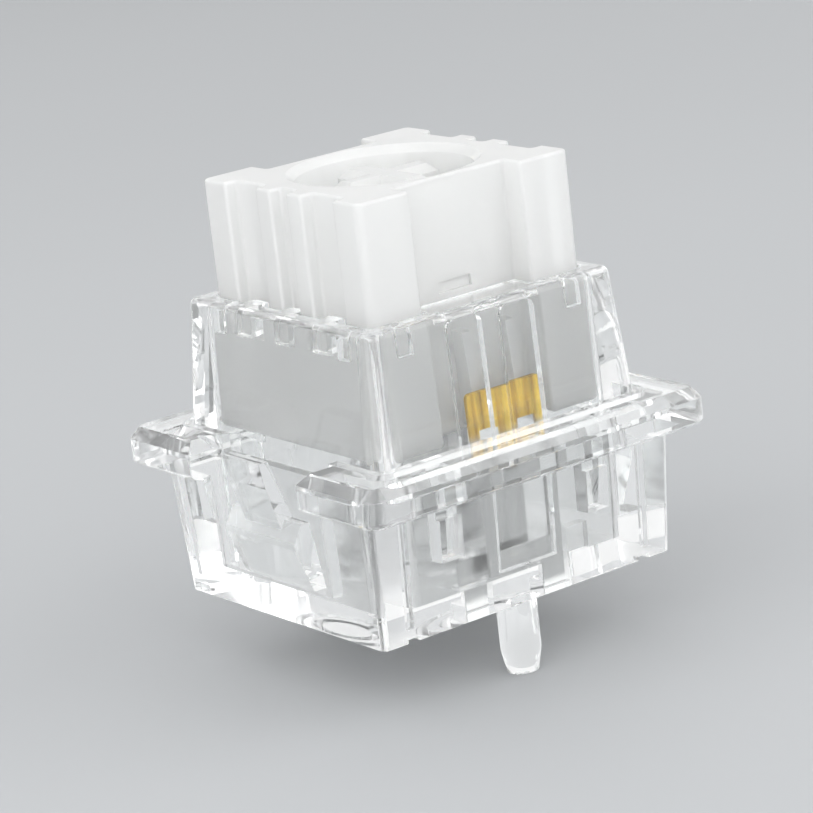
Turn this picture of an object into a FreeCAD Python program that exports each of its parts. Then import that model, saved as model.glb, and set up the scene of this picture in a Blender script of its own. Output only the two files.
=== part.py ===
"""Mechanical keyboard switch: clear housing, frosted stem, return spring and contact leaves.

Millimetres. The origin is where the stem's axis meets the circuit board, and +Z runs up the axis.
The plate clips face -X and +X, the board pegs stand under -Y and +Y, and the contact leaves are
behind the -Y wall.
"""
import math
import os

import FreeCAD
import Part

# Flange, which rests on the keyboard's plate
FLANGE_REACH = 0.8
FLANGE_CORNER = 0.7
FLANGE_UNDERSIDE = 5.0
FLANGE_THICKNESS = 1.4
FLANGE_TOP_CHAMFER = 0.4
FLANGE_BOTTOM_CHAMFER = 0.15
SCOOP_SET_BACK = 0.5
SCOOP_WIDTH = 1.0
SCOOP_LENGTH = 1.7
SCOOP_PLACE = 5.1
SCOOP_DEPTH = 0.3

# Body below the flange, which fits the plate's hole
BODY_WALL_X = 2.03
BODY_WALL_Y = 1.43
BODY_DRAFT_X = 0.225
BODY_DRAFT_Y = 0.3
BODY_HOLE_CLEARANCE = 0.05
BODY_CORNER = 0.25
FLOOR_THICKNESS = 1.0
COLUMN_WIDTH = 1.3
COLUMN_GROOVE_WIDTH = 0.3
COLUMN_GROOVE_DEPTH = 0.25
COLUMN_GROOVE_START = 0.5
FOOT_NOTCH_WIDTH = 0.5
FOOT_NOTCH_DEPTH = 0.6
FOOT_NOTCH_HEIGHT = 0.15
FACE_PANEL_WIDTH = 2.6
FACE_PANEL_BOTTOM = 1.4
FACE_PANEL_TOP = 4.7
FACE_PANEL_DEPTH = 0.3

# Plate clips on the -X and +X sides
PLATE_THICKNESS = 1.5
CLIP_WINDOW_WIDTH = 6.7
CLIP_WINDOW_BOTTOM = 1.5
CLIP_INNER_WALL = 0.65
CLIP_TONGUE_WIDTH = 2.25
CLIP_TONGUE_THICKNESS = 0.6
CLIP_TAB_THICKNESS = 0.4
CLIP_TAB_SET_BACK = 0.03
CLIP_KNEE_SET_BACK = 0.2
CLIP_KNEE_HEIGHT = 0.4
CLIP_HOOK_WIDTH = 4.3
CLIP_HOOK_CATCH = 0.35
CLIP_HOOK_NECK = 0.6
CLIP_HOOK_LAND = 0.25
CLIP_NECK_THICKNESS = 0.34
CLIP_PLATE_CLEARANCE = 0.05

# Board pegs
PEG_SET_BACK = 0.95
PEG_DIAMETER = 1.52
PEG_LENGTH = 2.88
PEG_TIP_LENGTH = 0.85
PEG_TIP_DIAMETER = 1.18

# Top housing
TOP_HEIGHT = 11.2
TOP_BASE_WALL = 1.03
TOP_CROWN_WALL = 0.68
TOP_CORNER = 0.35
TOP_EDGE_ROUND = 0.3
TOP_PLATE_THICKNESS = 1.2
SEAT_DEPTH = 0.9
SEAT_WALL = 1.38
SEAT_CORNER = 0.7
SEAT_GAP = 0.05
TOOTH_WIDTH = 0.9
TONGUE_THICKNESS = 0.45
CHANNEL_WIDTH = 1.55
CHANNEL_RIB = 0.85
CHANNEL_DEPTH = 0.3
CHANNEL_ROUND = 0.35
CHANNEL_ROOF = 0.4
RELIEF_WIDTH = 0.65
RELIEF_PLACE = 3.85
RELIEF_HEIGHT = 1.05
RELIEF_DEPTH = 0.25

# Latches that hold the top housing down
LATCH_PLACE = 3.4
LATCH_WIDTH = 0.8
LATCH_THICKNESS = 0.72
LATCH_BOTTOM = 2.6
LATCH_CATCH = 0.25
LATCH_SIDE_GAP = 0.1
LATCH_GAP = 0.08
LATCH_WINDOW_HEIGHT = 1.6

# Stem
STEM_SIZE = 9.6
STEM_TOP = 15.6
STEM_CORNER = 0.3
STEM_EDGE_ROUND = 0.12
STEM_FOOT_ROUND = 0.25
STEM_TRAVEL = 4.0
STEM_CLEARANCE = 0.12
STEM_STOP_GAP = 0.03
SKIRT_GAP = 1.2
SKIRT_WALL = 1.1
RECESS_WIDTH = 5.0
RECESS_DEPTH = 1.0
RECESS_WALL = 0.7
RECESS_POCKET_LEFT = -0.95
RECESS_POCKET_WIDTH = 1.5
RECESS_POCKET_HEIGHT = 0.4
RECESS_POCKET_RISE = 0.2
RECESS_POCKET_DEPTH = 0.15
BLOCK_WIDTH = 1.5
RIB_OUTER = 1.4
RIB_INNER = 0.5
GROOVE_DEPTH = 0.5
KEYCAP_BORE_WALL = 0.5
KEYCAP_BORE_DEPTH = 4.2
KEYCAP_BORE_CHAMFER = 0.3
CROSS_LENGTH = 4.1
CROSS_ARM_X = 1.17
CROSS_ARM_Y = 1.31
CROSS_SET_BACK = 0.3
CROSS_CHAMFER = 0.3
CROWN_THICKNESS = 1.2
SHAFT_DIAMETER = 2.6
SHAFT_END_GAP = 0.1
SHAFT_TIP = 0.4

# Guide post on the floor, and the spring round it
POST_DIAMETER = 3.7
POST_CROWN_GAP = 0.4
SHAFT_RUNNING_CLEARANCE = 0.05
SPRING_WIRE = 0.22
SPRING_MEAN_DIAMETER = 4.2
SPRING_TURNS = 9
SPRING_SEAT_GAP = 0.02
SPRING_RING_GAP = 0.15
SPRING_RING_WALL = 0.5
SPRING_RING_HEIGHT = 0.6

# Contact leaves and their crossed contact points
LEAF_THICKNESS = 0.15
LEAF_MIDDLE = 0.5
LEAF_WIDTH = 3.4
LEAF_WALL_GAP = 0.15
CROSSBAR_BOTTOM = 6.4
CROSSBAR_HEIGHT = 1.4
CROSSBAR_CORNER = 0.2
LEAF_ARM_WIDTH = 0.4
LEAF_BASE_HEIGHT = 0.8
LEAF_FLOOR_GAP = 0.06
LEAF_TONGUE_WIDTH = 0.9
LEAF_TONGUE_BOTTOM = 4.7
FIXED_LEAF_SET_BACK = 0.44
FIXED_LEAF_WIDTH = 1.4
FIXED_LEAF_TOP = 5.6
FIXED_LEAF_LEFT = -2.2
CONTACT_HEIGHT = 5.2
CONTACT_LENGTH = 0.8
CONTACT_WIDTH = 0.3
CONTACT_THICKNESS = 0.12
FOOT_WIDTH = 1.0
PAD_LENGTH = 1.3
SLOT_GAP = 0.15
PAD_POCKET_HEIGHT = 0.35

# Block behind the fixed leaf, and rib beside the moving one
HOLDER_LEAF_GAP = 0.08
HOLDER_DEPTH = 1.3
HOLDER_STEM_GAP = 0.15
LEAF_RIB_GAP = 0.1
LEAF_RIB_WIDTH = 1.0
LEAF_RIB_DEPTH = 0.5

# Cams on the stem that hold the moving leaf open
CAM_WIDTH = 0.4
CAM_SPACING = 2.0
CAM_LEAF_GAP = 0.05
CAM_SLOPE = 0.06
CAM_ROOF_GAP = 0.1

# Working values: how far a cut runs past a face, and how near two heights count as one
OVERCUT = 1.0
SAME_PLACE = 1e-4

# Sizes that follow from the ones above, from the stem outwards
STEM_HALF = STEM_SIZE / 2
CAVITY_HALF = STEM_HALF + STEM_CLEARANCE
CAVITY_CORNER = STEM_CORNER + STEM_CLEARANCE
RECESS_FLOOR = STEM_HALF - RECESS_DEPTH
GROOVE_FLOOR = STEM_HALF - GROOVE_DEPTH
BLOCK_EDGE = STEM_HALF - BLOCK_WIDTH
STEM_BOTTOM = FLOOR_THICKNESS + STEM_TRAVEL + SKIRT_GAP
SHAFT_BOTTOM = FLOOR_THICKNESS + STEM_TRAVEL + SHAFT_END_GAP
BORE_RADIUS = RECESS_FLOOR - KEYCAP_BORE_WALL
BORE_FLOOR = STEM_TOP - KEYCAP_BORE_DEPTH
CROWN_UNDERSIDE = BORE_FLOOR - CROWN_THICKNESS
POST_TOP = CROWN_UNDERSIDE - STEM_TRAVEL - POST_CROWN_GAP
BODY_TOP_X = 2 * (CAVITY_HALF + BODY_WALL_X)
BODY_TOP_Y = 2 * (CAVITY_HALF + BODY_WALL_Y)
BODY_FOOT_X = BODY_TOP_X - 2 * BODY_DRAFT_X
BODY_FOOT_Y = BODY_TOP_Y - 2 * BODY_DRAFT_Y
PLATE_HOLE = BODY_TOP_X + 2 * BODY_HOLE_CLEARANCE
FLANGE_SIZE = PLATE_HOLE + 2 * FLANGE_REACH
FLANGE_TOP = FLANGE_UNDERSIDE + FLANGE_THICKNESS
PEG_PLACE = -(BODY_FOOT_Y / 2 - PEG_SET_BACK)
SEAT_HALF = CAVITY_HALF + SEAT_WALL
SEAT_HEIGHT = FLANGE_TOP - SEAT_DEPTH
TOP_BASE_HALF = CAVITY_HALF + TOP_BASE_WALL
TOP_CROWN_HALF = CAVITY_HALF + TOP_CROWN_WALL
PLATE_UNDERSIDE = TOP_HEIGHT - TOP_PLATE_THICKNESS
SHOULDER = PLATE_UNDERSIDE - STEM_STOP_GAP
LEAF_OUTER = -(CAVITY_HALF - LEAF_WALL_GAP)
LEAF_INNER = LEAF_OUTER + LEAF_THICKNESS
FIXED_OUTER = LEAF_INNER + FIXED_LEAF_SET_BACK
LEAF_LEFT = LEAF_MIDDLE - LEAF_WIDTH / 2
LEAF_RIGHT = LEAF_MIDDLE + LEAF_WIDTH / 2
LEAF_BASE_BOTTOM = FLOOR_THICKNESS + LEAF_FLOOR_GAP
LEAF_BASE_TOP = LEAF_BASE_BOTTOM + LEAF_BASE_HEIGHT
CROSSBAR_TOP = CROSSBAR_BOTTOM + CROSSBAR_HEIGHT


def box(across, along, height):
    """Box between three pairs of limits."""
    corner = FreeCAD.Vector(across[0], along[0], height[0])
    return Part.makeBox(across[1] - across[0], along[1] - along[0], height[1] - height[0], corner)


def outline(half_x, half_y, radius, height):
    """Rounded rectangle about the axis, as a closed wire."""
    quarter = math.pi / 2
    arcs = []
    for turn, (side_x, side_y) in enumerate([(1, 1), (-1, 1), (-1, -1), (1, -1)]):
        centre = FreeCAD.Vector(side_x * (half_x - radius), side_y * (half_y - radius), height)
        circle = Part.Circle(centre, FreeCAD.Vector(0, 0, 1), radius)
        arcs.append(Part.Arc(circle, turn * quarter, (turn + 1) * quarter).toShape())
    edges = []
    for arc, following in zip(arcs, arcs[1:] + arcs[:1]):
        edges.append(arc)
        edges.append(Part.makeLine(arc.Vertexes[-1].Point, following.Vertexes[0].Point))
    return Part.Wire(edges)


def slab(half_x, half_y, radius, low, high):
    """Upright block with rounded corners."""
    face = Part.Face(outline(half_x, half_y, radius, low))
    return face.extrude(FreeCAD.Vector(0, 0, high - low))


def tapered(lower, upper):
    """Solid between two outlines."""
    return Part.makeLoft([lower, upper], True, True)


def prism_along_y(points, low, high):
    """Profile of (x, z) points, extruded along Y."""
    corners = [FreeCAD.Vector(x, low, z) for x, z in points]
    face = Part.Face(Part.makePolygon(corners + corners[:1]))
    return face.extrude(FreeCAD.Vector(0, high - low, 0))


def prism_along_x(points, low, high):
    """Profile of (y, z) points, extruded along X."""
    corners = [FreeCAD.Vector(low, y, z) for y, z in points]
    face = Part.Face(Part.makePolygon(corners + corners[:1]))
    return face.extrude(FreeCAD.Vector(high - low, 0, 0))


def cylinder(diameter, low, high, x=0, y=0):
    """Upright round bar."""
    return Part.makeCylinder(diameter / 2, high - low, FreeCAD.Vector(x, y, low))


def mirrored(shape, direction):
    """The same shape on the other side of the axis."""
    return shape.mirror(FreeCAD.Vector(0, 0, 0), direction)


def both_sides(shapes, direction):
    """The shapes and their mirror images."""
    return shapes + [mirrored(shape, direction) for shape in shapes]


ACROSS = FreeCAD.Vector(1, 0, 0)
ALONG = FreeCAD.Vector(0, 1, 0)


def level_edges(shape, height):
    """Edges that lie at one height."""
    return [
        edge for edge in shape.Edges
        if abs(edge.BoundBox.ZMin - height) < SAME_PLACE and abs(edge.BoundBox.ZMax - height) < SAME_PLACE
    ]


def upright_edges(shape, least):
    """Straight vertical edges longer than a limit."""
    return [
        edge for edge in shape.Edges
        if edge.BoundBox.XLength < SAME_PLACE
        and edge.BoundBox.YLength < SAME_PLACE
        and edge.BoundBox.ZLength > least
    ]


def flange():
    """Square collar with a chamfered rim, open over each plate clip."""
    half = FLANGE_SIZE / 2
    collar = slab(half, half, FLANGE_CORNER, FLANGE_UNDERSIDE, FLANGE_TOP)
    collar = collar.makeChamfer(FLANGE_TOP_CHAMFER, level_edges(collar, FLANGE_TOP))
    return collar.makeChamfer(FLANGE_BOTTOM_CHAMFER, level_edges(collar, FLANGE_UNDERSIDE))


def scoop():
    """Shallow V-shaped scoop in the top of the flange, near its corner on the -X side."""
    outer = -(FLANGE_SIZE / 2 - SCOOP_SET_BACK)
    inner = outer + SCOOP_WIDTH
    profile = [
        (outer, FLANGE_TOP),
        ((outer + inner) / 2, FLANGE_TOP - SCOOP_DEPTH),
        (inner, FLANGE_TOP),
        (inner, FLANGE_TOP + OVERCUT),
        (outer, FLANGE_TOP + OVERCUT),
    ]
    return prism_along_y(profile, SCOOP_PLACE - SCOOP_LENGTH / 2, SCOOP_PLACE + SCOOP_LENGTH / 2)


def clip_window():
    """Cut on the -X side that leaves the clip room to bend, with the flange's chamfer at its edges."""
    inner = -(CAVITY_HALF + CLIP_INNER_WALL)
    half = CLIP_WINDOW_WIDTH / 2
    window = box((-FLANGE_SIZE, inner), (-half, half), (CLIP_WINDOW_BOTTOM, FLANGE_TOP + OVERCUT))
    spread = half + FLANGE_TOP_CHAMFER + OVERCUT
    chamfer = [
        (-half, FLANGE_TOP - FLANGE_TOP_CHAMFER),
        (-spread, FLANGE_TOP + OVERCUT),
        (spread, FLANGE_TOP + OVERCUT),
        (half, FLANGE_TOP - FLANGE_TOP_CHAMFER),
    ]
    return window.fuse(prism_along_x(chamfer, -FLANGE_SIZE, inner))


def plate_clip():
    """Springy tongue on the -X side, with a release tab above the plate and a hook below it."""
    root = CLIP_WINDOW_BOTTOM - FLOOR_THICKNESS / 2
    foot = -BODY_FOOT_X / 2
    catch_top = FLANGE_UNDERSIDE - PLATE_THICKNESS + CLIP_HOOK_NECK
    ridge_top = FLANGE_UNDERSIDE - PLATE_THICKNESS - CLIP_PLATE_CLEARANCE
    ridge = -(PLATE_HOLE / 2 + CLIP_HOOK_CATCH)
    neck = -(PLATE_HOLE / 2 - CLIP_PLATE_CLEARANCE)
    hook = prism_along_y(
        [
            (neck + CLIP_NECK_THICKNESS, catch_top),
            (neck, catch_top),
            (ridge, ridge_top),
            (ridge, ridge_top - CLIP_HOOK_LAND),
            (foot, CLIP_WINDOW_BOTTOM),
            (foot, root),
            (foot + CLIP_TONGUE_THICKNESS, root),
        ],
        -CLIP_HOOK_WIDTH / 2,
        CLIP_HOOK_WIDTH / 2,
    )
    tab = -(FLANGE_SIZE / 2 - CLIP_TAB_SET_BACK)
    tongue = prism_along_y(
        [
            (tab, FLANGE_TOP),
            (-(FLANGE_SIZE / 2 - CLIP_KNEE_SET_BACK), FLANGE_UNDERSIDE + CLIP_KNEE_HEIGHT),
            ((neck + ridge) / 2, (catch_top + ridge_top) / 2),
            (neck + CLIP_NECK_THICKNESS, (catch_top + ridge_top) / 2),
            (neck + CLIP_NECK_THICKNESS, catch_top),
            (tab + CLIP_TAB_THICKNESS, FLANGE_TOP),
        ],
        -CLIP_TONGUE_WIDTH / 2,
        CLIP_TONGUE_WIDTH / 2,
    )
    return tongue.fuse(hook)


def latch_pocket(place):
    """Slot in the -Y wall for one latch, with the window that its hook catches in."""
    half = LATCH_WIDTH / 2 + LATCH_SIDE_GAP
    outer = -(CAVITY_HALF + LATCH_GAP + LATCH_THICKNESS + LATCH_GAP)
    slot = box((place - half, place + half), (outer, 0), (LATCH_BOTTOM - LATCH_GAP, FLANGE_TOP))
    window_top = LATCH_BOTTOM + LATCH_WINDOW_HEIGHT - LATCH_GAP
    window = box(
        (place - half, place + half),
        (-BODY_TOP_Y, 0),
        (LATCH_BOTTOM - LATCH_GAP, window_top),
    )
    return slot.fuse(window)


def latch(place):
    """One springy leg of the top housing on the -Y side, with a wedge hook."""
    inner = -(CAVITY_HALF + LATCH_GAP)
    outer = inner - LATCH_THICKNESS
    hook_top = LATCH_BOTTOM + LATCH_WINDOW_HEIGHT - 2 * LATCH_GAP
    profile = [
        (inner, SEAT_HEIGHT + OVERCUT / 2),
        (inner, LATCH_BOTTOM),
        (outer, LATCH_BOTTOM),
        (outer - LATCH_CATCH, hook_top),
        (outer, hook_top),
        (outer, SEAT_HEIGHT + OVERCUT / 2),
    ]
    return prism_along_x(profile, place - LATCH_WIDTH / 2, place + LATCH_WIDTH / 2)


def side_grooves():
    """Grooves, panel and foot notches that mark the corner columns of the -Y side."""
    top = BODY_TOP_Y / 2
    foot = BODY_FOOT_Y / 2
    column = BODY_TOP_X / 2 - COLUMN_WIDTH
    lean = (top - foot) / FLANGE_UNDERSIDE
    cuts = []
    for side in (-1, 1):
        near = side * column
        far = side * (column - COLUMN_GROOVE_WIDTH)
        start = COLUMN_GROOVE_START
        depth_at_start = foot + lean * start - COLUMN_GROOVE_DEPTH
        profile = [
            (-depth_at_start, start),
            (-(top - COLUMN_GROOVE_DEPTH), FLANGE_UNDERSIDE),
            (-(top + OVERCUT), FLANGE_UNDERSIDE),
            (-(top + OVERCUT), start),
        ]
        cuts.append(prism_along_x(profile, min(near, far), max(near, far)))
        notch_end = side * (column - FOOT_NOTCH_WIDTH)
        cuts.append(box(
            (min(near, notch_end), max(near, notch_end)),
            (-(top + OVERCUT), -(foot - FOOT_NOTCH_DEPTH)),
            (-OVERCUT, FOOT_NOTCH_HEIGHT),
        ))
    low = -(foot + lean * FACE_PANEL_BOTTOM - FACE_PANEL_DEPTH)
    high = -(foot + lean * FACE_PANEL_TOP - FACE_PANEL_DEPTH)
    panel = [
        (low, FACE_PANEL_BOTTOM),
        (high, FACE_PANEL_TOP),
        (-(top + OVERCUT), FACE_PANEL_TOP),
        (-(top + OVERCUT), FACE_PANEL_BOTTOM),
    ]
    cuts.append(prism_along_x(panel, -FACE_PANEL_WIDTH / 2, FACE_PANEL_WIDTH / 2))
    return cuts


def foot_slot(left, outer):
    """Slot through the floor for a leaf's foot, with a shallow pocket under it for the pad."""
    across = (left - SLOT_GAP, left + FOOT_WIDTH + SLOT_GAP)
    back = outer - SLOT_GAP
    slot = box(across, (back, outer + LEAF_THICKNESS + SLOT_GAP), (-OVERCUT, FLOOR_THICKNESS + OVERCUT))
    pocket = box(across, (back, outer + PAD_LENGTH + SLOT_GAP), (-OVERCUT, PAD_POCKET_HEIGHT))
    return slot.fuse(pocket)


def peg():
    """Board peg under the -Y side, tapered at its tip."""
    shank_end = PEG_TIP_LENGTH - PEG_LENGTH
    shank = cylinder(PEG_DIAMETER, shank_end, FLOOR_THICKNESS / 2, y=PEG_PLACE)
    tip = Part.makeCone(
        PEG_TIP_DIAMETER / 2,
        PEG_DIAMETER / 2,
        PEG_TIP_LENGTH,
        FreeCAD.Vector(0, PEG_PLACE, -PEG_LENGTH),
    )
    return shank.fuse(tip)


def guide_post():
    """Hollow post on the floor: the spring sits round it and the stem's shaft runs in it."""
    bore = SHAFT_DIAMETER + 2 * SHAFT_RUNNING_CLEARANCE
    post = cylinder(POST_DIAMETER, FLOOR_THICKNESS / 2, POST_TOP)
    return post.cut(cylinder(bore, FLOOR_THICKNESS, POST_TOP + OVERCUT))


def spring_ring():
    """Low ring on the floor that keeps the spring's end in the middle."""
    inner = SPRING_MEAN_DIAMETER + SPRING_WIRE + 2 * SPRING_RING_GAP
    top = FLOOR_THICKNESS + SPRING_RING_HEIGHT
    ring = cylinder(inner + 2 * SPRING_RING_WALL, FLOOR_THICKNESS / 2, top)
    return ring.cut(cylinder(inner, FLOOR_THICKNESS, top + OVERCUT))


def leaf_supports():
    """Block behind the fixed leaf and wall rib beside the moving one, below the lowered stem."""
    height = (FLOOR_THICKNESS / 2, STEM_BOTTOM - STEM_TRAVEL - HOLDER_STEM_GAP)
    outer = FIXED_OUTER + LEAF_THICKNESS + HOLDER_LEAF_GAP
    across = (FIXED_LEAF_LEFT + FOOT_WIDTH + SLOT_GAP, LEAF_MIDDLE + FIXED_LEAF_WIDTH / 2)
    block = box(across, (outer, outer + HOLDER_DEPTH), height)
    left = LEAF_RIGHT + LEAF_RIB_GAP
    wall = -(CAVITY_HALF + BODY_WALL_Y / 2)
    rib = box((left, left + LEAF_RIB_WIDTH), (wall, LEAF_RIB_DEPTH - CAVITY_HALF), height)
    return [block, rib]


def bottom_housing():
    """Clear lower shell with flange, plate clips, board pegs and guide post."""
    body = tapered(
        outline(BODY_FOOT_X / 2, BODY_FOOT_Y / 2, BODY_CORNER, 0),
        outline(BODY_TOP_X / 2, BODY_TOP_Y / 2, BODY_CORNER, FLANGE_UNDERSIDE),
    )
    shell = body.fuse(flange())
    cavity = slab(CAVITY_HALF, CAVITY_HALF, CAVITY_CORNER, FLOOR_THICKNESS, FLANGE_TOP + OVERCUT)
    seat_half = SEAT_HALF + SEAT_GAP
    seat = slab(seat_half, seat_half, SEAT_CORNER, SEAT_HEIGHT, FLANGE_TOP + OVERCUT)
    latches = [latch_pocket(-LATCH_PLACE), latch_pocket(LATCH_PLACE)]
    cuts = [cavity, seat, scoop()]
    cuts += both_sides([clip_window()], ACROSS)
    cuts += both_sides(latches + side_grooves(), ALONG)
    cuts.append(foot_slot(LEAF_RIGHT - FOOT_WIDTH, LEAF_OUTER))
    cuts.append(foot_slot(FIXED_LEAF_LEFT, FIXED_OUTER))
    shell = shell.cut(cuts)
    additions = [guide_post(), spring_ring()] + leaf_supports()
    additions += both_sides([plate_clip()], ACROSS)
    additions += both_sides([peg()], ALONG)
    return shell.fuse(additions).removeSplitter()


def channel():
    """Inner channel in the -Y wall of the top housing, round at its upper corners."""
    half = CHANNEL_WIDTH / 2
    place = (CHANNEL_RIB + CHANNEL_WIDTH) / 2
    top = TOP_HEIGHT - CHANNEL_ROOF
    back = -(CAVITY_HALF + CHANNEL_DEPTH)
    cut = box((place - half, place + half), (back, 0), (SEAT_HEIGHT - OVERCUT, top))
    upper = [
        edge for edge in cut.Edges
        if edge.BoundBox.YLength > CAVITY_HALF and edge.BoundBox.ZMin > top - OVERCUT
    ]
    return cut.makeFillet(CHANNEL_ROUND, upper)


def relief(place):
    """Small round-topped pocket beside a corner of the opening, on the -Y side."""
    half = RELIEF_WIDTH / 2
    back = -(CAVITY_HALF + RELIEF_DEPTH)
    top = PLATE_UNDERSIDE + RELIEF_HEIGHT - half
    pocket = box((place - half, place + half), (back, 0), (PLATE_UNDERSIDE, top))
    arch = Part.makeCylinder(half, -back, FreeCAD.Vector(place, back, top), ALONG)
    return pocket.fuse(arch)


def quarter_turn(shape):
    """The shape turned from the -Y side to the +X side."""
    copy = shape.copy()
    copy.rotate(FreeCAD.Vector(0, 0, 0), FreeCAD.Vector(0, 0, 1), 90)
    return copy


def opening_teeth():
    """Teeth and tongues of the opening that run in the stem's grooves and recesses."""
    height = (PLATE_UNDERSIDE, TOP_HEIGHT)
    wall = CAVITY_HALF + STEM_CLEARANCE
    middle = (BLOCK_EDGE + RIB_OUTER) / 2
    half = TOOTH_WIDTH / 2
    inner = GROOVE_FLOOR + STEM_CLEARANCE
    teeth = [box((inner, wall), (y - half, y + half), height) for y in (-middle, 0, middle)]
    reach = RECESS_WIDTH / 2 - STEM_CLEARANCE
    across = (-reach, reach)
    along = (-wall, -(RECESS_FLOOR + STEM_CLEARANCE))
    tongue = box(across, along, (TOP_HEIGHT - TONGUE_THICKNESS, TOP_HEIGHT))
    return both_sides(teeth, ACROSS) + both_sides([tongue], ALONG)


def top_housing():
    """Clear upper shell that tapers to the opening for the stem, with four latches."""
    crown = tapered(
        outline(TOP_BASE_HALF, TOP_BASE_HALF, TOP_CORNER, FLANGE_TOP),
        outline(TOP_CROWN_HALF, TOP_CROWN_HALF, TOP_CORNER, TOP_HEIGHT),
    )
    crown = crown.makeFillet(TOP_EDGE_ROUND, level_edges(crown, TOP_HEIGHT))
    base = slab(SEAT_HALF, SEAT_HALF, SEAT_CORNER, SEAT_HEIGHT, FLANGE_TOP)
    half = CLIP_WINDOW_WIDTH / 2
    window = box((-FLANGE_SIZE, -TOP_BASE_HALF), (-half, half), (0, FLANGE_TOP + OVERCUT))
    shell = crown.fuse(base.cut(both_sides([window], ACROSS)))
    cavity = slab(CAVITY_HALF, CAVITY_HALF, CAVITY_CORNER, 0, TOP_HEIGHT + OVERCUT)
    channels = both_sides(both_sides([channel()], ACROSS), ALONG)
    pockets = both_sides([relief(-RELIEF_PLACE), relief(RELIEF_PLACE)], ALONG)
    pockets += [quarter_turn(pocket) for pocket in pockets]
    shell = shell.cut([cavity] + channels + pockets)
    legs = both_sides([latch(-LATCH_PLACE), latch(LATCH_PLACE)], ALONG)
    return shell.fuse(opening_teeth() + legs).removeSplitter()


def stem_block():
    """Outer form of the stem: corner blocks, ribs on the X sides and recesses on the Y sides."""
    block = slab(STEM_HALF, STEM_HALF, STEM_CORNER, STEM_BOTTOM, STEM_TOP)
    half = RECESS_WIDTH / 2
    height = (STEM_BOTTOM - OVERCUT, STEM_TOP + OVERCUT)
    recess = box((-half, half), (-STEM_SIZE, -RECESS_FLOOR), height)
    above_shoulder = (SHOULDER, STEM_TOP + OVERCUT)
    spans = [(-BLOCK_EDGE, -RIB_OUTER), (-RIB_INNER, RIB_INNER), (RIB_OUTER, BLOCK_EDGE)]
    grooves = [box((-STEM_SIZE, -GROOVE_FLOOR), span, above_shoulder) for span in spans]
    block = block.cut(both_sides([recess], ALONG) + both_sides(grooves, ACROSS))
    block = block.makeFillet(STEM_EDGE_ROUND, upright_edges(block, STEM_TOP - TOP_HEIGHT))
    block = block.makeFillet(STEM_EDGE_ROUND, level_edges(block, STEM_TOP))
    block = block.makeFillet(STEM_FOOT_ROUND, level_edges(block, STEM_BOTTOM))
    return block.cut(recess_pocket())


def recess_pocket():
    """Shallow oblong pocket in the floor of the -Y recess, just above the housing."""
    bottom = TOP_HEIGHT + RECESS_POCKET_RISE
    return box(
        (RECESS_POCKET_LEFT, RECESS_POCKET_LEFT + RECESS_POCKET_WIDTH),
        (-STEM_HALF, -(RECESS_FLOOR - RECESS_POCKET_DEPTH)),
        (bottom, bottom + RECESS_POCKET_HEIGHT),
    )


def keycap_cross():
    """Cross-shaped post that the keycap pushes on to."""
    top = STEM_TOP - CROSS_SET_BACK
    height = (BORE_FLOOR - CROWN_THICKNESS / 2, top)
    half = CROSS_LENGTH / 2
    arm_x = box((-half, half), (-CROSS_ARM_X / 2, CROSS_ARM_X / 2), height)
    arm_y = box((-CROSS_ARM_Y / 2, CROSS_ARM_Y / 2), (-half, half), height)
    cross = arm_x.fuse(arm_y).removeSplitter()
    return cross.makeChamfer(CROSS_CHAMFER, level_edges(cross, top))


def cams():
    """Two sloping ribs in the -Y recess that bear on the moving leaf's crossbar."""
    bottom = CROSSBAR_BOTTOM
    top = PLATE_UNDERSIDE - CAM_ROOF_GAP
    face = LEAF_INNER + CAM_LEAF_GAP
    root = -(RECESS_FLOOR - RECESS_DEPTH / 2)
    profile = [(root, bottom), (face, bottom), (face + CAM_SLOPE * (top - bottom), top), (root, top)]
    ribs = []
    for side in (-1, 1):
        middle = LEAF_MIDDLE + side * CAM_SPACING / 2
        ribs.append(prism_along_x(profile, middle - CAM_WIDTH / 2, middle + CAM_WIDTH / 2))
    return ribs


def stem():
    """Frosted stem: keycap bore and cross above, hollow skirt, guide shaft and cams below."""
    bore = cylinder(2 * BORE_RADIUS, BORE_FLOOR, STEM_TOP + OVERCUT)
    rim = Part.makeCone(
        BORE_RADIUS,
        BORE_RADIUS + KEYCAP_BORE_CHAMFER,
        KEYCAP_BORE_CHAMFER,
        FreeCAD.Vector(0, 0, STEM_TOP - KEYCAP_BORE_CHAMFER),
    )
    half_x = STEM_HALF - SKIRT_WALL
    half_y = RECESS_FLOOR - RECESS_WALL
    hollow = slab(half_x, half_y, STEM_CORNER, STEM_BOTTOM - OVERCUT, CROWN_UNDERSIDE)
    body = stem_block().cut([bore, rim, hollow])
    shaft = cylinder(SHAFT_DIAMETER, SHAFT_BOTTOM, CROWN_UNDERSIDE + CROWN_THICKNESS / 2)
    shaft = shaft.makeChamfer(SHAFT_TIP, level_edges(shaft, SHAFT_BOTTOM))
    return body.fuse([keycap_cross(), shaft] + cams()).removeSplitter()


def return_spring():
    """Coil spring between the floor and the underside of the stem's crown."""
    radius = SPRING_WIRE / 2
    bottom = FLOOR_THICKNESS + SPRING_SEAT_GAP + radius
    length = CROWN_UNDERSIDE - SPRING_SEAT_GAP - radius - bottom
    helix = Part.makeHelix(length / SPRING_TURNS, length, SPRING_MEAN_DIAMETER / 2)
    helix.translate(FreeCAD.Vector(0, 0, bottom))
    start = helix.Edges[0].valueAt(helix.Edges[0].FirstParameter)
    heading = helix.Edges[0].tangentAt(helix.Edges[0].FirstParameter)
    section = Part.Wire(Part.Circle(start, heading, radius).toShape())
    return Part.Wire(helix.Edges).makePipeShell([section], True, True)


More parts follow.
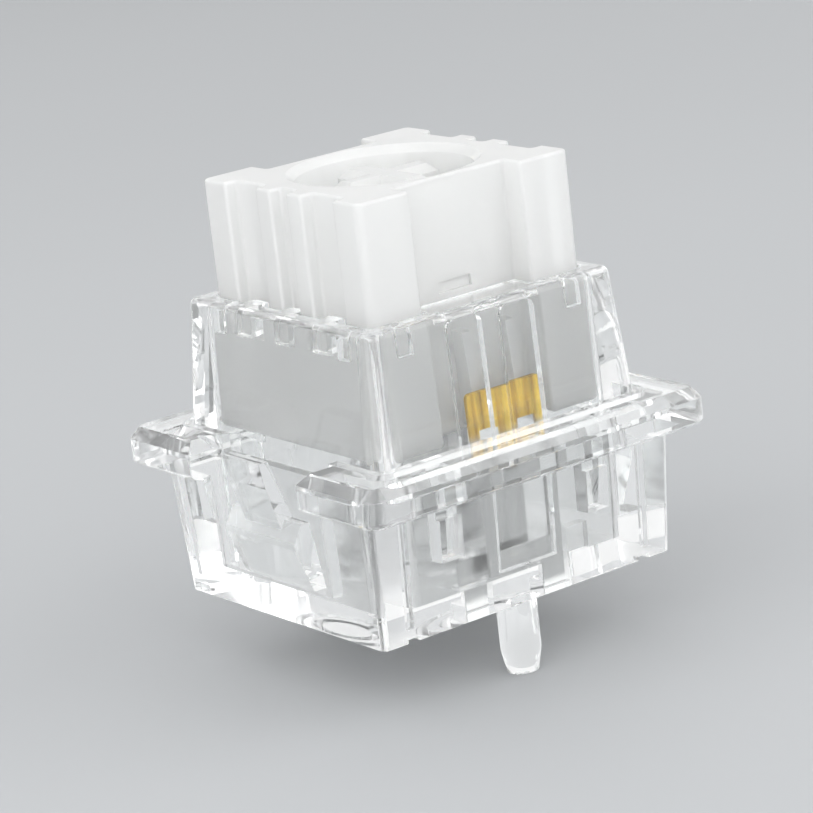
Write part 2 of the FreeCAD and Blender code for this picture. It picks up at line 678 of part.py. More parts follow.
def stamped(left, right, low, high, outer):
    """Rectangular stretch of an upright leaf."""
    return box((left, right), (outer, outer + LEAF_THICKNESS), (low, high))


def foot(left, outer):
    """Foot of a leaf: down through the floor and bent under it as a solder pad."""
    drop = stamped(left, left + FOOT_WIDTH, 0, LEAF_BASE_TOP, outer)
    pad = box((left, left + FOOT_WIDTH), (outer, outer + PAD_LENGTH), (0, LEAF_THICKNESS))
    return drop.fuse(pad)


def moving_leaf():
    """Moving contact leaf: crossbar on two arms, with a tongue that carries its contact point."""
    outer = LEAF_OUTER
    crossbar = stamped(LEAF_LEFT, LEAF_RIGHT, CROSSBAR_BOTTOM, CROSSBAR_TOP, outer)
    corners = [
        edge for edge in crossbar.Edges
        if edge.BoundBox.YLength > LEAF_THICKNESS / 2
        and edge.BoundBox.XLength < LEAF_THICKNESS
        and edge.BoundBox.ZLength < LEAF_THICKNESS
    ]
    crossbar = crossbar.makeFillet(CROSSBAR_CORNER, corners)
    base = stamped(LEAF_LEFT, LEAF_RIGHT, LEAF_BASE_BOTTOM, LEAF_BASE_TOP, outer)
    overlap = CROSSBAR_BOTTOM + CROSSBAR_HEIGHT / 2
    left_arm = stamped(LEAF_LEFT, LEAF_LEFT + LEAF_ARM_WIDTH, LEAF_BASE_BOTTOM, overlap, outer)
    right_arm = stamped(LEAF_RIGHT - LEAF_ARM_WIDTH, LEAF_RIGHT, LEAF_BASE_BOTTOM, overlap, outer)
    tongue_left = LEAF_MIDDLE - LEAF_TONGUE_WIDTH / 2
    tongue_right = LEAF_MIDDLE + LEAF_TONGUE_WIDTH / 2
    tongue = stamped(tongue_left, tongue_right, LEAF_TONGUE_BOTTOM, overlap, outer)
    pieces = [base, left_arm, right_arm, tongue, foot(LEAF_RIGHT - FOOT_WIDTH, outer)]
    return crossbar.fuse(pieces).removeSplitter()


def fixed_leaf():
    """Fixed contact leaf between the stem's cams."""
    outer = FIXED_OUTER
    left = LEAF_MIDDLE - FIXED_LEAF_WIDTH / 2
    right = LEAF_MIDDLE + FIXED_LEAF_WIDTH / 2
    blade = stamped(left, right, LEAF_BASE_BOTTOM, FIXED_LEAF_TOP, outer)
    base = stamped(FIXED_LEAF_LEFT, right, LEAF_BASE_BOTTOM, LEAF_BASE_TOP, outer)
    return blade.fuse([base, foot(FIXED_LEAF_LEFT, outer)]).removeSplitter()


def contact_point(length_x, length_z, low_y):
    """Small bar of contact metal at the contact height."""
    half_x = length_x / 2
    half_z = length_z / 2
    return box(
        (LEAF_MIDDLE - half_x, LEAF_MIDDLE + half_x),
        (low_y, low_y + CONTACT_THICKNESS),
        (CONTACT_HEIGHT - half_z, CONTACT_HEIGHT + half_z),
    )


def build():
    """All the pieces, by node name."""
    return {
        "bottom_housing": bottom_housing(),
        "top_housing": top_housing(),
        "stem": stem(),
        "return_spring": return_spring(),
        "moving_contact_leaf": moving_leaf(),
        "moving_contact_point": contact_point(CONTACT_WIDTH, CONTACT_LENGTH, LEAF_INNER),
        "fixed_contact_leaf": fixed_leaf(),
        "fixed_contact_point": contact_point(CONTACT_LENGTH, CONTACT_WIDTH, FIXED_OUTER - CONTACT_THICKNESS),
    }


os.makedirs("parts", exist_ok=True)
for node, shape in build().items():
    shape.exportStep("parts/" + node + ".step")
    print(node, shape.ShapeType, shape.isValid(), len(shape.Solids), round(shape.Volume, 3))
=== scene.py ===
"""Looks of a mechanical keyboard switch.

Clear housing, frosted stem, wound return spring and gold-plated contact leaves. Named sizes are in
millimetres and named angles in degrees, and the scene is in metres. +Z runs up the stem's axis.
"""

import math

import bpy
from mathutils import Matrix, Vector


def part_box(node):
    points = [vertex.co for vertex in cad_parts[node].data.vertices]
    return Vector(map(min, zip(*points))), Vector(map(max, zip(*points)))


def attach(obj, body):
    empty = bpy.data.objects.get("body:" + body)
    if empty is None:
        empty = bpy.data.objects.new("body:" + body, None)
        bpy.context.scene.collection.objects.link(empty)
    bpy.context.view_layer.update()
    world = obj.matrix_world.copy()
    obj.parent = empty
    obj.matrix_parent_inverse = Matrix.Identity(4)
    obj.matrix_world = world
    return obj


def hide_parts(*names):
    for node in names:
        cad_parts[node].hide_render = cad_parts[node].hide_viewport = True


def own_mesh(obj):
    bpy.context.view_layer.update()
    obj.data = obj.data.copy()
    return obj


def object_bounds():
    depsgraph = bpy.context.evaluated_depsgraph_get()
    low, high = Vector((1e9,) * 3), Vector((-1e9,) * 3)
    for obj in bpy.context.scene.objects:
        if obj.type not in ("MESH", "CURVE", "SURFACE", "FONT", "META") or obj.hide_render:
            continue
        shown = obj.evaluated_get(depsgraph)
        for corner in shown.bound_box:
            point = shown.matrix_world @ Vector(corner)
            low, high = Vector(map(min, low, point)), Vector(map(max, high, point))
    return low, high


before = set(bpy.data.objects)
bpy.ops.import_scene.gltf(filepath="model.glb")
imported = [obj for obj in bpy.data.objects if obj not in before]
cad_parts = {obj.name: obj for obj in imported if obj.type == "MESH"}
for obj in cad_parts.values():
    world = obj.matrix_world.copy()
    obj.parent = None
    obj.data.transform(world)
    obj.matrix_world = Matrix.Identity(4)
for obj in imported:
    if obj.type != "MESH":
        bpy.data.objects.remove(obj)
CAD_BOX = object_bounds()

MM = 0.001

# Camera: where it stands and how it is turned, as fitted to the collar, the housings and the stem
CAMERA_PLACE = (-72.47, -100.24, 40.26)
CAMERA_RIGHT = (0.78814, -0.60548, -0.11063)
CAMERA_UP = (0.24642, 0.14570, 0.95815)
CAMERA_LENS = 153.1
CAMERA_SENSOR = 36.0
CAMERA_NEAREST = 1.0
CAMERA_FARTHEST = 10000.0

# Stage
FLOOR_SIZE = 2400.0
FLOOR_GAP = 0.02
FLOOR_TONE_SIZE = 60.0
FLOOR_PALE_SHARE = 0.6
ROOM_STRENGTH = 0.7
BACKGROUND_STRENGTH = 1.0

# Softboxes: name, place, width, height and watts. They are large, so that they show softly in the plastic
LAMPS_LOOK_AT = (0.0, 0.0, 7.0)
LAMPS = (
    ("overhead_softbox", (-40, 60, 260), 300, 300, 0.18),
    ("left_softbox", (-260, -130, 150), 600, 400, 1.15),
    ("right_softbox", (150, -260, 150), 600, 400, 0.95),
)

# Bounces: light needs many to get through walls that stand one behind another
CLEAR_BOUNCES = 28
STEM_BOUNCES = 10

# Edges of the mouldings
HOUSING_EDGE = 0.05
STEM_EDGE = 0.07
EDGE_STEPS = 2
SHARP_ANGLE = 30.0
FLAT_ANGLE = 0.5
WELD_DISTANCE = 0.0005
HOUSING_AIR = 0.015

# Faces of the tool: the cavity's core is blasted, all else is polished
CORE_HALF = 5.0
CORE_FLOOR = 0.6
CORE_TOP = 6.3

# Clear plastic: how far apart its waves and its haze are, and how rough and how clear the tool leaves it
WAVE_SIZE = 2.5
WAVE_STRETCH = (0.5, 0.5, 0.16)
WAVE_DEPTH = 0.01
HAZE_SIZE = 4.0
POLISHED_ROUGHNESS = (0.012, 0.05)
POLISHED_CLARITY = 0.985
LOWER_CORE_ROUGHNESS = 0.16
LOWER_CORE_CLARITY = 0.86
UPPER_CORE_ROUGHNESS = 0.02
UPPER_CORE_CLARITY = 0.99
CORE_SPREAD = (0.7, 1.3)
CLEAR_IOR = 1.585

# Milky plastic: the tool's grain, the clouds in the melt, and how far light runs under its skin
STEM_GRAIN_SIZE = 0.05
STEM_GRAIN_DEPTH = 0.002
STEM_CLOUD_SIZE = 2.5
STEM_CLOUD_STRETCH = (1.0, 1.0, 0.3)
STEM_ROUGHNESS = (0.3, 0.42)
STEM_GLOW_DEPTH = 0.7
STEM_IOR = 1.49

# Leaves: rolling lines, which in the gold also carry painted streak highlights, and the edge of the
# gold, just under the bar at the top of the moving leaf
ROLLING_LINE_AND_PAINTED_STREAK_SIZE = 0.35
ROLLING_LINE_AND_PAINTED_STREAK_STRETCH = (1.0, 1.0, 0.05)
ROLLING_LINE_DEPTH = 0.006
PLATED_ROUGHNESS = (0.16, 0.32)
PLATING_EDGE = 6.1
PLATING_BLEND = 0.15

# Contact points: the dents that coining leaves
COINED_DENT_SIZE = 0.15
COINED_DENT_DEPTH = 0.004
COINED_ROUGHNESS = 0.18

# Return spring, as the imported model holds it, and the lines that the drawing die leaves on its wire
SPRING_WIRE = 0.22
SPRING_WIRE_SIDES = 14
SPRING_ACTIVE_TURNS = 7.0
SPRING_CLOSED_TURNS = 1.1
SPRING_STEPS_PER_TURN = 40
DIE_LINE_SIZE = 0.06
WIRE_ROUGHNESS = (0.18, 0.4)

# How the spring's wire runs, step by step: result, operation, and what goes in, by name or as a number
SPRING_SUMS = (
    ("last step", "SUBTRACT", ("Steps", 1)),
    ("share", "DIVIDE", ("Index", "last step")),
    ("both closed turns", "MULTIPLY", ("Closed Turns", 2)),
    ("all turns", "ADD", ("Active Turns", "both closed turns")),
    ("turn", "MULTIPLY", ("share", "all turns")),
    ("angle", "MULTIPLY", ("turn", 2 * math.pi)),
    ("wire", "MULTIPLY", ("Wire Radius", 2)),
    ("closed height", "MULTIPLY", ("Closed Turns", "wire")),
    ("turns at the bottom", "MINIMUM", ("turn", "Closed Turns")),
    ("rise at the bottom", "MULTIPLY", ("turns at the bottom", "wire")),
    ("turns past the bottom", "SUBTRACT", ("turn", "Closed Turns")),
    ("open share", "DIVIDE", ("turns past the bottom", "Active Turns")),
    ("open share up to 1", "MINIMUM", ("open share", 1)),
    ("open share from 0", "MAXIMUM", ("open share up to 1", 0)),
    ("height", "SUBTRACT", ("Top", "Bottom")),
    ("both closed heights", "MULTIPLY", ("closed height", 2)),
    ("open height", "SUBTRACT", ("height", "both closed heights")),
    ("rise between", "MULTIPLY", ("open share from 0", "open height")),
    ("turns past the middle", "SUBTRACT", ("turns past the bottom", "Active Turns")),
    ("turns at the top", "MAXIMUM", ("turns past the middle", 0)),
    ("rise at the top", "MULTIPLY", ("turns at the top", "wire")),
    ("rise below the top", "ADD", ("rise at the bottom", "rise between")),
    ("top rise from the seat", "ADD", ("rise at the top", "Bottom")),
    ("rise", "ADD", ("rise below the top", "top rise from the seat")),
    ("cosine", "COSINE", ("angle",)),
    ("sine", "SINE", ("angle",)),
    ("across", "MULTIPLY", ("cosine", "Mean Radius")),
    ("along", "MULTIPLY", ("sine", "Mean Radius")),
    ("ground at the bottom", "MAXIMUM", ("Point Z", "Bottom")),
    ("ground at both ends", "MINIMUM", ("ground at the bottom", "Top")),
)


def linear(code):
    """sRGB hex colour as linear RGBA."""
    channels = [int(code[i:i + 2], 16) / 255 for i in (1, 3, 5)]
    return tuple(c / 12.92 if c <= 0.04045 else ((c + 0.055) / 1.055) ** 2.4 for c in channels) + (1.0,)


def add(tree, kind, settings=None, links=None):
    """Adds a node, sets its properties and inputs, and links inputs to output sockets."""
    made = tree.nodes.new(kind)
    for key, value in (settings or {}).items():
        if isinstance(key, str) and hasattr(made, key):
            setattr(made, key, value)
        else:
            made.inputs[key].default_value = value
    for key, source in (links or {}).items():
        tree.links.new(source, made.inputs[key])
    return made


def new_material(name):
    """Empty node material with its output and the piece's own coordinates."""
    material = bpy.data.materials.new(name)
    material.use_nodes = True
    tree = material.node_tree
    tree.nodes.clear()
    output = add(tree, "ShaderNodeOutputMaterial")
    place = add(tree, "ShaderNodeTexCoord").outputs["Object"]
    return material, tree, output, place


def inside_core(tree, place):
    """Mask that is 1 on the faces that the blasted core forms, and 0 on the polished outside."""
    spot = add(tree, "ShaderNodeSeparateXYZ", {}, {"Vector": place}).outputs
    far_x = add(tree, "ShaderNodeMath", {"operation": "ABSOLUTE"}, {0: spot["X"]})
    far_y = add(tree, "ShaderNodeMath", {"operation": "ABSOLUTE"}, {0: spot["Y"]})
    farthest = add(tree, "ShaderNodeMath", {"operation": "MAXIMUM"},
                   {0: far_x.outputs[0], 1: far_y.outputs[0]})
    within = add(tree, "ShaderNodeMath", {"operation": "LESS_THAN", 1: CORE_HALF * MM},
                 {0: farthest.outputs[0]})
    above = add(tree, "ShaderNodeMath", {"operation": "GREATER_THAN", 1: CORE_FLOOR * MM},
                {0: spot["Z"]})
    below = add(tree, "ShaderNodeMath", {"operation": "LESS_THAN", 1: CORE_TOP * MM}, {0: spot["Z"]})
    level = add(tree, "ShaderNodeMath", {"operation": "MULTIPLY"},
                {0: above.outputs[0], 1: below.outputs[0]})
    both = add(tree, "ShaderNodeMath", {"operation": "MULTIPLY"},
               {0: within.outputs[0], 1: level.outputs[0]})
    return both.outputs[0]


def clear_polycarbonate(name, core_roughness, core_clarity):
    """Injection-moulded polycarbonate: polished outside, blasted where the core forms it.

    Glass-clear with a trace of haze, and with the faint waviness that the flow of the melt leaves. The
    blasted faces behind the polished ones turn what stands inside soft and white.
    """
    material, tree, output, place = new_material(name)
    flow = add(tree, "ShaderNodeMapping", {"Scale": WAVE_STRETCH}, {"Vector": place})
    waves = add(tree, "ShaderNodeTexNoise",
                {"Scale": 1 / (WAVE_SIZE * MM), "Detail": 1.5, "Roughness": 0.4},
                {"Vector": flow.outputs[0]})
    haze = add(tree, "ShaderNodeTexNoise", {"Scale": 1 / (HAZE_SIZE * MM), "Detail": 3.0},
               {"Vector": place})
    polish = add(tree, "ShaderNodeMapRange",
                 {"From Min": 0.35, "From Max": 0.75,
                  "To Min": POLISHED_ROUGHNESS[0], "To Max": POLISHED_ROUGHNESS[1]},
                 {"Value": haze.outputs["Fac"]})
    blast = add(tree, "ShaderNodeMapRange",
                {"From Min": 0.3, "From Max": 0.7,
                 "To Min": CORE_SPREAD[0] * core_roughness, "To Max": CORE_SPREAD[1] * core_roughness},
                {"Value": haze.outputs["Fac"]})
    core = inside_core(tree, place)
    roughness = add(tree, "ShaderNodeMix", {"data_type": "FLOAT"},
                    {"Factor": core, 2: polish.outputs[0], 3: blast.outputs[0]})
    clarity = add(tree, "ShaderNodeMapRange", {"To Min": POLISHED_CLARITY, "To Max": core_clarity},
                  {"Value": core})
    bump = add(tree, "ShaderNodeBump", {"Strength": 0.04, "Distance": WAVE_DEPTH * MM},
               {"Height": waves.outputs["Fac"]})
    shader = add(tree, "ShaderNodeBsdfPrincipled",
                 {"Base Color": linear("#FDFEFE"), "IOR": CLEAR_IOR},
                 {"Transmission Weight": clarity.outputs[0], "Roughness": roughness.outputs[0],
                  "Normal": bump.outputs[0]})
    tree.links.new(shader.outputs[0], output.inputs["Surface"])
    return material


def frosted_stem_plastic():
    """Milky moulded plastic from a spark-eroded tool: soft white, with a faint glow at its thin walls."""
    material, tree, output, place = new_material("milky_plastic_spark_eroded_tool")
    grain = add(tree, "ShaderNodeTexNoise", {"Scale": 1 / (STEM_GRAIN_SIZE * MM), "Detail": 2.0},
                {"Vector": place})
    melt = add(tree, "ShaderNodeMapping", {"Scale": STEM_CLOUD_STRETCH}, {"Vector": place})
    cloud = add(tree, "ShaderNodeTexNoise", {"Scale": 1 / (STEM_CLOUD_SIZE * MM), "Detail": 2.0},
                {"Vector": melt.outputs[0]})
    colour = add(tree, "ShaderNodeMix",
                 {"data_type": "RGBA", "A": linear("#FEFEFD"), "B": linear("#F9FAF9")},
                 {"Factor": cloud.outputs["Fac"]})
    roughness = add(tree, "ShaderNodeMapRange",
                    {"To Min": STEM_ROUGHNESS[0], "To Max": STEM_ROUGHNESS[1]},
                    {"Value": cloud.outputs["Fac"]})
    bump = add(tree, "ShaderNodeBump", {"Strength": 0.12, "Distance": STEM_GRAIN_DEPTH * MM},
               {"Height": grain.outputs["Fac"]})
    shader = add(tree, "ShaderNodeBsdfPrincipled",
                 {"IOR": STEM_IOR, "Transmission Weight": 0.45, "Subsurface Weight": 0.5,
                  "Subsurface Radius": (1.0, 1.0, 1.0), "Subsurface Scale": STEM_GLOW_DEPTH * MM,
                  "Coat Weight": 0.3, "Coat Roughness": 0.15},
                 {"Base Color": colour.outputs["Result"], "Roughness": roughness.outputs[0],
                  "Normal": bump.outputs[0]})
    tree.links.new(shader.outputs[0], output.inputs["Surface"])
    return material


def gold_plated_bronze():
    """Rolled phosphor bronze, tinned up to the bar at its top and gold-plated there.

    The bar is a deep warm mirror with fine rolling lines up it, and what stands below is soft grey.
    Along the lines the gold's colour runs from dark to bright gold: painted streak highlights, laid
    over the real lines that the bump and the roughness give.
    The lines are drawn coarser than real ones, which would be too fine to show.
    """
    material, tree, output, place = new_material("gold_and_tin_on_rolled_bronze")
    lines = add(tree, "ShaderNodeMapping", {"Scale": ROLLING_LINE_AND_PAINTED_STREAK_STRETCH}, {"Vector": place})
    rolling_lines_and_painted_streaks = add(tree, "ShaderNodeTexNoise",
                  {"Scale": 1 / (ROLLING_LINE_AND_PAINTED_STREAK_SIZE * MM), "Detail": 4.0, "Roughness": 0.6},
                  {"Vector": lines.outputs[0]})
    # Painted streak highlights: the lines' noise, pulled to full contrast, runs the gold's colour from
    # dark to bright
    painted_streak_highlights = add(tree, "ShaderNodeMapRange", {"From Min": 0.36, "From Max": 0.64},
                 {"Value": rolling_lines_and_painted_streaks.outputs["Fac"]})
    gold = add(tree, "ShaderNodeMix",
               {"data_type": "RGBA", "A": linear("#B5820A"), "B": linear("#FFDA55")},
               {"Factor": painted_streak_highlights.outputs[0]})
    tin = add(tree, "ShaderNodeMix",
              {"data_type": "RGBA", "A": linear("#B4B5B5"), "B": linear("#D6D6D5")},
              {"Factor": rolling_lines_and_painted_streaks.outputs["Fac"]})
    height = add(tree, "ShaderNodeSeparateXYZ", {}, {"Vector": place})
    plated = add(tree, "ShaderNodeMapRange",
                 {"From Min": (PLATING_EDGE - PLATING_BLEND) * MM,
                  "From Max": (PLATING_EDGE + PLATING_BLEND) * MM},
                 {"Value": height.outputs["Z"]})
    colour = add(tree, "ShaderNodeMix", {"data_type": "RGBA"},
                 {"Factor": plated.outputs[0], "A": tin.outputs["Result"], "B": gold.outputs["Result"]})
    roughness = add(tree, "ShaderNodeMapRange",
                    {"To Min": PLATED_ROUGHNESS[0], "To Max": PLATED_ROUGHNESS[1]},
                    {"Value": rolling_lines_and_painted_streaks.outputs["Fac"]})
    bump = add(tree, "ShaderNodeBump", {"Strength": 0.3, "Distance": ROLLING_LINE_DEPTH * MM},
               {"Height": rolling_lines_and_painted_streaks.outputs["Fac"]})
    shader = add(tree, "ShaderNodeBsdfPrincipled", {"Metallic": 1.0},
                 {"Base Color": colour.outputs["Result"], "Roughness": roughness.outputs[0],
                  "Normal": bump.outputs[0]})
    tree.links.new(shader.outputs[0], output.inputs["Surface"])
    return material


def contact_gold():
    """Solid gold alloy of the welded contact points, coined: brighter and smoother than the leaf."""
    material, tree, output, place = new_material("gold_alloy_coined")
    dents = add(tree, "ShaderNodeTexNoise", {"Scale": 1 / (COINED_DENT_SIZE * MM), "Detail": 2.0},
                {"Vector": place})
    bump = add(tree, "ShaderNodeBump", {"Strength": 0.3, "Distance": COINED_DENT_DEPTH * MM},
               {"Height": dents.outputs["Fac"]})
    colour = add(tree, "ShaderNodeMix",
                 {"data_type": "RGBA", "A": linear("#E3B348"), "B": linear("#F6D67A")},
                 {"Factor": dents.outputs["Fac"]})
    shader = add(tree, "ShaderNodeBsdfPrincipled", {"Metallic": 1.0, "Roughness": COINED_ROUGHNESS},
                 {"Base Color": colour.outputs["Result"], "Normal": bump.outputs[0]})
    tree.links.new(shader.outputs[0], output.inputs["Surface"])
    return material


def spring_steel():
    """Hard-drawn stainless spring wire: bright grey, uneven from the die that it was drawn through."""
    material, tree, output, place = new_material("stainless_wire_hard_drawn")
    lines = add(tree, "ShaderNodeTexNoise", {"Scale": 1 / (DIE_LINE_SIZE * MM), "Detail": 3.0},
                {"Vector": place})
    roughness = add(tree, "ShaderNodeMapRange",
                    {"To Min": WIRE_ROUGHNESS[0], "To Max": WIRE_ROUGHNESS[1]},
                    {"Value": lines.outputs["Fac"]})
    colour = add(tree, "ShaderNodeMix",
                 {"data_type": "RGBA", "A": linear("#9C9D9E"), "B": linear("#C9CACB")},
                 {"Factor": lines.outputs["Fac"]})
    shader = add(tree, "ShaderNodeBsdfPrincipled", {"Metallic": 1.0},
                 {"Base Color": colour.outputs["Result"], "Roughness": roughness.outputs[0]})
    tree.links.new(shader.outputs[0], output.inputs["Surface"])
    return material


def satin_floor():
    """Pale satin-painted board. Gloss and clear plastic show it as pale as it is away from the shadow."""
    material, tree, output, place = new_material("satin_painted_board")
    tone = add(tree, "ShaderNodeTexNoise", {"Scale": 1 / (FLOOR_TONE_SIZE * MM), "Detail": 3.0},
               {"Vector": place})
    colour = add(tree, "ShaderNodeMix",
                 {"data_type": "RGBA", "A": linear("#B9BBBD"), "B": linear("#BDBFC1")},
                 {"Factor": tone.outputs["Fac"]})
    paint = add(tree, "ShaderNodeBsdfPrincipled", {"Roughness": 0.6, "Specular IOR Level": 0.3},
                {"Base Color": colour.outputs["Result"]})
    pale = add(tree, "ShaderNodeEmission",
               {"Color": linear("#EDEEEF"), "Strength": BACKGROUND_STRENGTH})
    rays = add(tree, "ShaderNodeLightPath").outputs
    shown = add(tree, "ShaderNodeMath", {"operation": "MAXIMUM"},
                {0: rays["Is Glossy Ray"], 1: rays["Is Transmission Ray"]})
    share = add(tree, "ShaderNodeMath", {"operation": "MULTIPLY", 1: FLOOR_PALE_SHARE},
                {0: shown.outputs[0]})
    either = add(tree, "ShaderNodeMixShader", {},
                 {0: share.outputs[0], 1: paint.outputs[0], 2: pale.outputs[0]})
    tree.links.new(either.outputs[0], output.inputs["Surface"])
    return material


def dress(node_name, material, edge=0.0, air=0.0):
    """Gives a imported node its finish, and rounds its sharp edges by a moulding's small radius.

    Where two clear pieces lie face to face, one of them leaves the hairline of air that real mouldings
    have between them. Light would run from one into the other without it, and the edges would go black.
    """
    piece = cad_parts[node_name]
    piece.data.materials.clear()
    piece.data.materials.append(material)
    if not edge:
        return
    weld = piece.modifiers.new("weld", "WELD")
    weld.merge_threshold = WELD_DISTANCE * MM
    flat = piece.modifiers.new("flat", "DECIMATE")
    flat.decimate_type = "DISSOLVE"
    flat.angle_limit = math.radians(FLAT_ANGLE)
    if air:
        hairline = piece.modifiers.new("hairline", "DISPLACE")
        hairline.mid_level = 0.0
        hairline.strength = -air * MM
    bevel = piece.modifiers.new("edge", "BEVEL")
    bevel.width = edge * MM
    bevel.segments = EDGE_STEPS
    bevel.limit_method = "ANGLE"
    bevel.angle_limit = math.radians(SHARP_ANGLE)
    bevel.harden_normals = True


def spring_tree(material):
    """Node tree that winds a compression spring with closed, ground ends."""
    tree = bpy.data.node_groups.new("wound_spring", "GeometryNodeTree")
    for name in ("Mean Radius", "Wire Radius", "Bottom", "Top", "Active Turns", "Closed Turns"):
        tree.interface.new_socket(name, in_out="INPUT", socket_type="NodeSocketFloat")
    tree.interface.new_socket("Steps", in_out="INPUT", socket_type="NodeSocketInt")
    tree.interface.new_socket("Geometry", in_out="OUTPUT", socket_type="NodeSocketGeometry")
    given = add(tree, "NodeGroupInput").outputs
    output = add(tree, "NodeGroupOutput")
    position = add(tree, "GeometryNodeInputPosition")
    point = add(tree, "ShaderNodeSeparateXYZ", {}, {"Vector": position.outputs[0]}).outputs

    sums = {socket.name: socket for socket in given if socket.name}
    sums["Index"] = add(tree, "GeometryNodeInputIndex").outputs[0]
    sums["Point Z"] = point["Z"]
    for result, operation, terms in SPRING_SUMS:
        numbers = {place: term for place, term in enumerate(terms) if not isinstance(term, str)}
        links = {place: sums[term] for place, term in enumerate(terms) if isinstance(term, str)}
        step = add(tree, "ShaderNodeMath", {"operation": operation, **numbers}, links)
        sums[result] = step.outputs[0]

    line = add(tree, "GeometryNodeMeshLine", {"mode": "OFFSET"}, {"Count": given["Steps"]})
    path = add(tree, "ShaderNodeCombineXYZ", {},
               {"X": sums["across"], "Y": sums["along"], "Z": sums["rise"]})
    placed = add(tree, "GeometryNodeSetPosition", {},
                 {"Geometry": line.outputs[0], "Position": path.outputs[0]})
    curve = add(tree, "GeometryNodeMeshToCurve", {}, {"Mesh": placed.outputs[0]})
    ring = add(tree, "GeometryNodeCurvePrimitiveCircle", {"Resolution": SPRING_WIRE_SIDES},
               {"Radius": given["Wire Radius"]})
    wound = add(tree, "GeometryNodeCurveToMesh", {"Fill Caps": True},
                {"Curve": curve.outputs[0], "Profile Curve": ring.outputs["Curve"]})
    flat = add(tree, "ShaderNodeCombineXYZ", {},
               {"X": point["X"], "Y": point["Y"], "Z": sums["ground at both ends"]})
    cut = add(tree, "GeometryNodeSetPosition", {},
              {"Geometry": wound.outputs[0], "Position": flat.outputs[0]})
    smooth = add(tree, "GeometryNodeSetShadeSmooth", {}, {"Geometry": cut.outputs[0]})
    real = add(tree, "GeometryNodeRealizeInstances", {}, {"Geometry": smooth.outputs[0]})
    coated = add(tree, "GeometryNodeSetMaterial", {"Material": material}, {"Geometry": real.outputs[0]})
    tree.links.new(coated.outputs[0], output.inputs["Geometry"])
    return tree


def plain_mesh(name, tree, values):
    """Runs a node tree on an empty mesh and keeps the result as a plain mesh object."""
    carrier = bpy.data.objects.new(name + "_carrier", bpy.data.meshes.new(name + "_carrier"))
    bpy.context.scene.collection.objects.link(carrier)
    modifier = carrier.modifiers.new("nodes", "NODES")
    modifier.node_group = tree
    for item in tree.interface.items_tree:
        if item.in_out == "INPUT" and item.name in values:
            modifier[item.identifier] = values[item.name]
    depsgraph = bpy.context.evaluated_depsgraph_get()
    mesh = bpy.data.meshes.new_from_object(carrier.evaluated_get(depsgraph))
    bpy.data.objects.remove(carrier)
    mesh.name = name
    piece = bpy.data.objects.new(name, mesh)
    bpy.context.scene.collection.objects.link(piece)
    return piece


def make_spring(material):
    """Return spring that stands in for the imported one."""
    lowest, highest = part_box("return_spring")
    turns = SPRING_ACTIVE_TURNS + 2 * SPRING_CLOSED_TURNS
    piece = plain_mesh("wound_return_spring", spring_tree(material), {
        "Mean Radius": (highest.x - lowest.x) / 2 - SPRING_WIRE * MM / 2,
        "Wire Radius": SPRING_WIRE * MM / 2,
        "Bottom": lowest.z,
        "Top": highest.z,
        "Active Turns": SPRING_ACTIVE_TURNS,
        "Closed Turns": SPRING_CLOSED_TURNS,
        "Steps": int(turns * SPRING_STEPS_PER_TURN),
    })
    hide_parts("return_spring")
    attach(piece, "housing")
    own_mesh(piece)


def make_floor():
    """Plain pale floor just under the board pegs."""
    half = FLOOR_SIZE * MM / 2
    height = CAD_BOX[0].z - FLOOR_GAP * MM
    corners = [(-half, -half, height), (half, -half, height), (half, half, height), (-half, half, height)]
    mesh = bpy.data.meshes.new("floor")
    mesh.from_pydata(corners, [], [(0, 1, 2, 3)])
    floor = bpy.data.objects.new("floor", mesh)
    bpy.context.scene.collection.objects.link(floor)
    mesh.materials.append(satin_floor())


def make_lamp(name, place, width, height, watts):
    """White softbox that faces the middle of the switch."""
    lamp = bpy.data.lights.new(name, "AREA")
    lamp.shape = "RECTANGLE"
    lamp.size = width * MM
    lamp.size_y = height * MM
    lamp.energy = watts
    holder = bpy.data.objects.new(name, lamp)
    bpy.context.scene.collection.objects.link(holder)
    spot = Vector(place) * MM
    holder.location = spot
    holder.rotation_mode = "QUATERNION"
    holder.rotation_quaternion = (Vector(LAMPS_LOOK_AT) * MM - spot).to_track_quat("-Z", "Y")


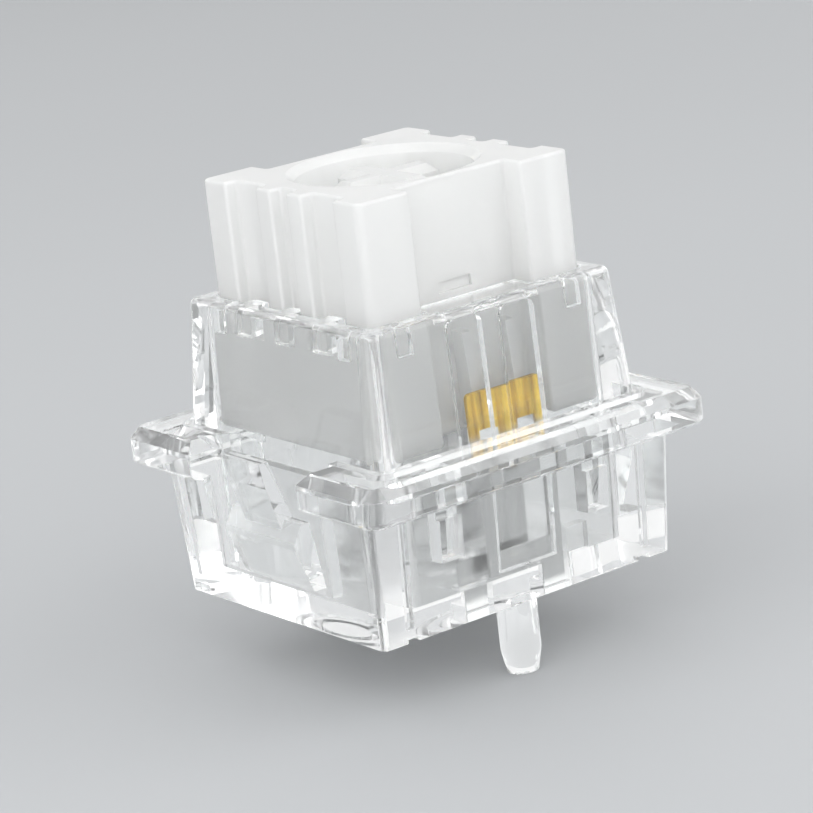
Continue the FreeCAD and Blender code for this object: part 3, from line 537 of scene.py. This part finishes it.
def make_room():
    """Even room light, with a white wall for what the camera, the gloss and the clear plastic see."""
    world = bpy.data.worlds.new("room")
    bpy.context.scene.world = world
    world.use_nodes = True
    tree = world.node_tree
    tree.nodes.clear()
    output = add(tree, "ShaderNodeOutputWorld")
    rays = add(tree, "ShaderNodeLightPath").outputs
    seen = add(tree, "ShaderNodeMath", {"operation": "MAXIMUM"},
               {0: rays["Is Camera Ray"], 1: rays["Is Glossy Ray"]})
    shown = add(tree, "ShaderNodeMath", {"operation": "MAXIMUM"},
                {0: seen.outputs[0], 1: rays["Is Transmission Ray"]})
    light = add(tree, "ShaderNodeBackground",
                {"Color": linear("#DDDEDF"), "Strength": ROOM_STRENGTH})
    wall = add(tree, "ShaderNodeBackground",
               {"Color": linear("#FFFFFF"), "Strength": BACKGROUND_STRENGTH})
    either = add(tree, "ShaderNodeMixShader", {},
                 {0: shown.outputs[0], 1: light.outputs[0], 2: wall.outputs[0]})
    tree.links.new(either.outputs[0], output.inputs["Surface"])


def make_camera():
    """Camera at the photograph's angle."""
    right = Vector(CAMERA_RIGHT).normalized()
    up = Vector(CAMERA_UP).normalized()
    back = right.cross(up)
    data = bpy.data.cameras.new("camera")
    data.sensor_width = CAMERA_SENSOR
    data.lens = CAMERA_LENS
    data.clip_start = CAMERA_NEAREST * MM
    data.clip_end = CAMERA_FARTHEST * MM
    camera = bpy.data.objects.new("camera", data)
    bpy.context.scene.collection.objects.link(camera)
    camera.rotation_mode = "QUATERNION"
    camera.location = Vector(CAMERA_PLACE) * MM
    camera.rotation_quaternion = Matrix((right, up, back)).transposed().to_quaternion()
    bpy.context.scene.camera = camera


make_camera()
make_room()
make_floor()
for lamp_values in LAMPS:
    make_lamp(*lamp_values)

lower_clear = clear_polycarbonate("polycarbonate_blasted_core", LOWER_CORE_ROUGHNESS, LOWER_CORE_CLARITY)
upper_clear = clear_polycarbonate("polycarbonate_polished_tool", UPPER_CORE_ROUGHNESS, UPPER_CORE_CLARITY)
milky = frosted_stem_plastic()
plated = gold_plated_bronze()
alloy = contact_gold()
steel = spring_steel()
dress("bottom_housing", lower_clear, HOUSING_EDGE)
dress("top_housing", upper_clear, HOUSING_EDGE, HOUSING_AIR)
dress("stem", milky, STEM_EDGE)
dress("return_spring", steel)
dress("moving_contact_leaf", plated)
dress("fixed_contact_leaf", plated)
dress("moving_contact_point", alloy)
dress("fixed_contact_point", alloy)
make_spring(steel)

bpy.context.scene.view_settings.view_transform = "Standard"
bpy.context.scene.cycles.max_bounces = CLEAR_BOUNCES
bpy.context.scene.cycles.transmission_bounces = CLEAR_BOUNCES
bpy.context.scene.cycles.glossy_bounces = CLEAR_BOUNCES
bpy.context.scene.cycles.diffuse_bounces = STEM_BOUNCES
